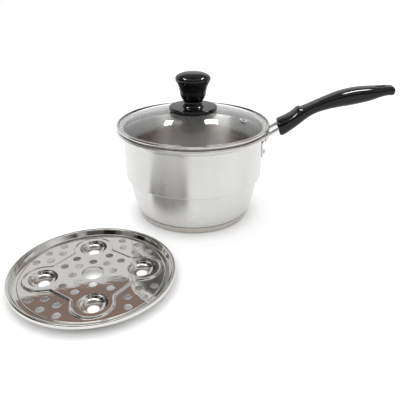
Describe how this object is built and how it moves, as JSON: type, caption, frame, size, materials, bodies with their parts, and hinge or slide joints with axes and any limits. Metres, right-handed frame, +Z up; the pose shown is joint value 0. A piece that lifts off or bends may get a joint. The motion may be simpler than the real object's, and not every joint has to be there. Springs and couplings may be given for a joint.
{
  "type": "soup pot",
  "caption": "Stainless steel soup pot with a stepped wall, glass lid, long moulded handle and a pierced steaming plate beside it.",
  "frame": {"origin": "centre of the underside of the pot's base, on the surface it stands on", "axes": "+Z up, +X from the pot's axis out along its handle"},
  "size_m": [0.4406, 0.3648, 0.19],
  "materials": {
    "satin_steel": "satin, brushed",
    "polished_steel": "mirror polished",
    "aluminium": "as rolled",
    "brass": "turned",
    "bakelite": "glossy black moulding",
    "silicone": "soft, translucent white",
    "glass": "clear tempered glass"
  },
  "bodies": {
    "pot": {"pot_shell": "satin_steel", "base_cap": "satin_steel", "base_core": "aluminium", "bracket_plate": "polished_steel", "rivet_near": "polished_steel", "rivet_far": "polished_steel", "rod_near": "polished_steel", "rod_far": "polished_steel", "tang_bridge": "polished_steel", "grip": "bakelite", "grip_screw": "polished_steel"},
    "lid": {"lid_glass": "glass", "lid_ring": "polished_steel", "vent_eyelet": "polished_steel", "knob": "bakelite", "knob_collar": "bakelite", "knob_insert": "brass", "knob_screw": "polished_steel", "screw_washer": "polished_steel", "upper_seal": "silicone", "lower_seal": "silicone"},
    "plate": {"steam_plate": "polished_steel"}
  },
  "joints": [
    {"name": "lid_lift", "type": "slide", "parent": "pot", "child": "lid", "axis": [0, 0, 1], "range_m": [0, 0.15]},
    {"name": "plate_lift", "type": "slide", "parent": "pot", "child": "plate", "axis": [0, 0, 1], "range_m": [0, 0.15]}
  ]
}
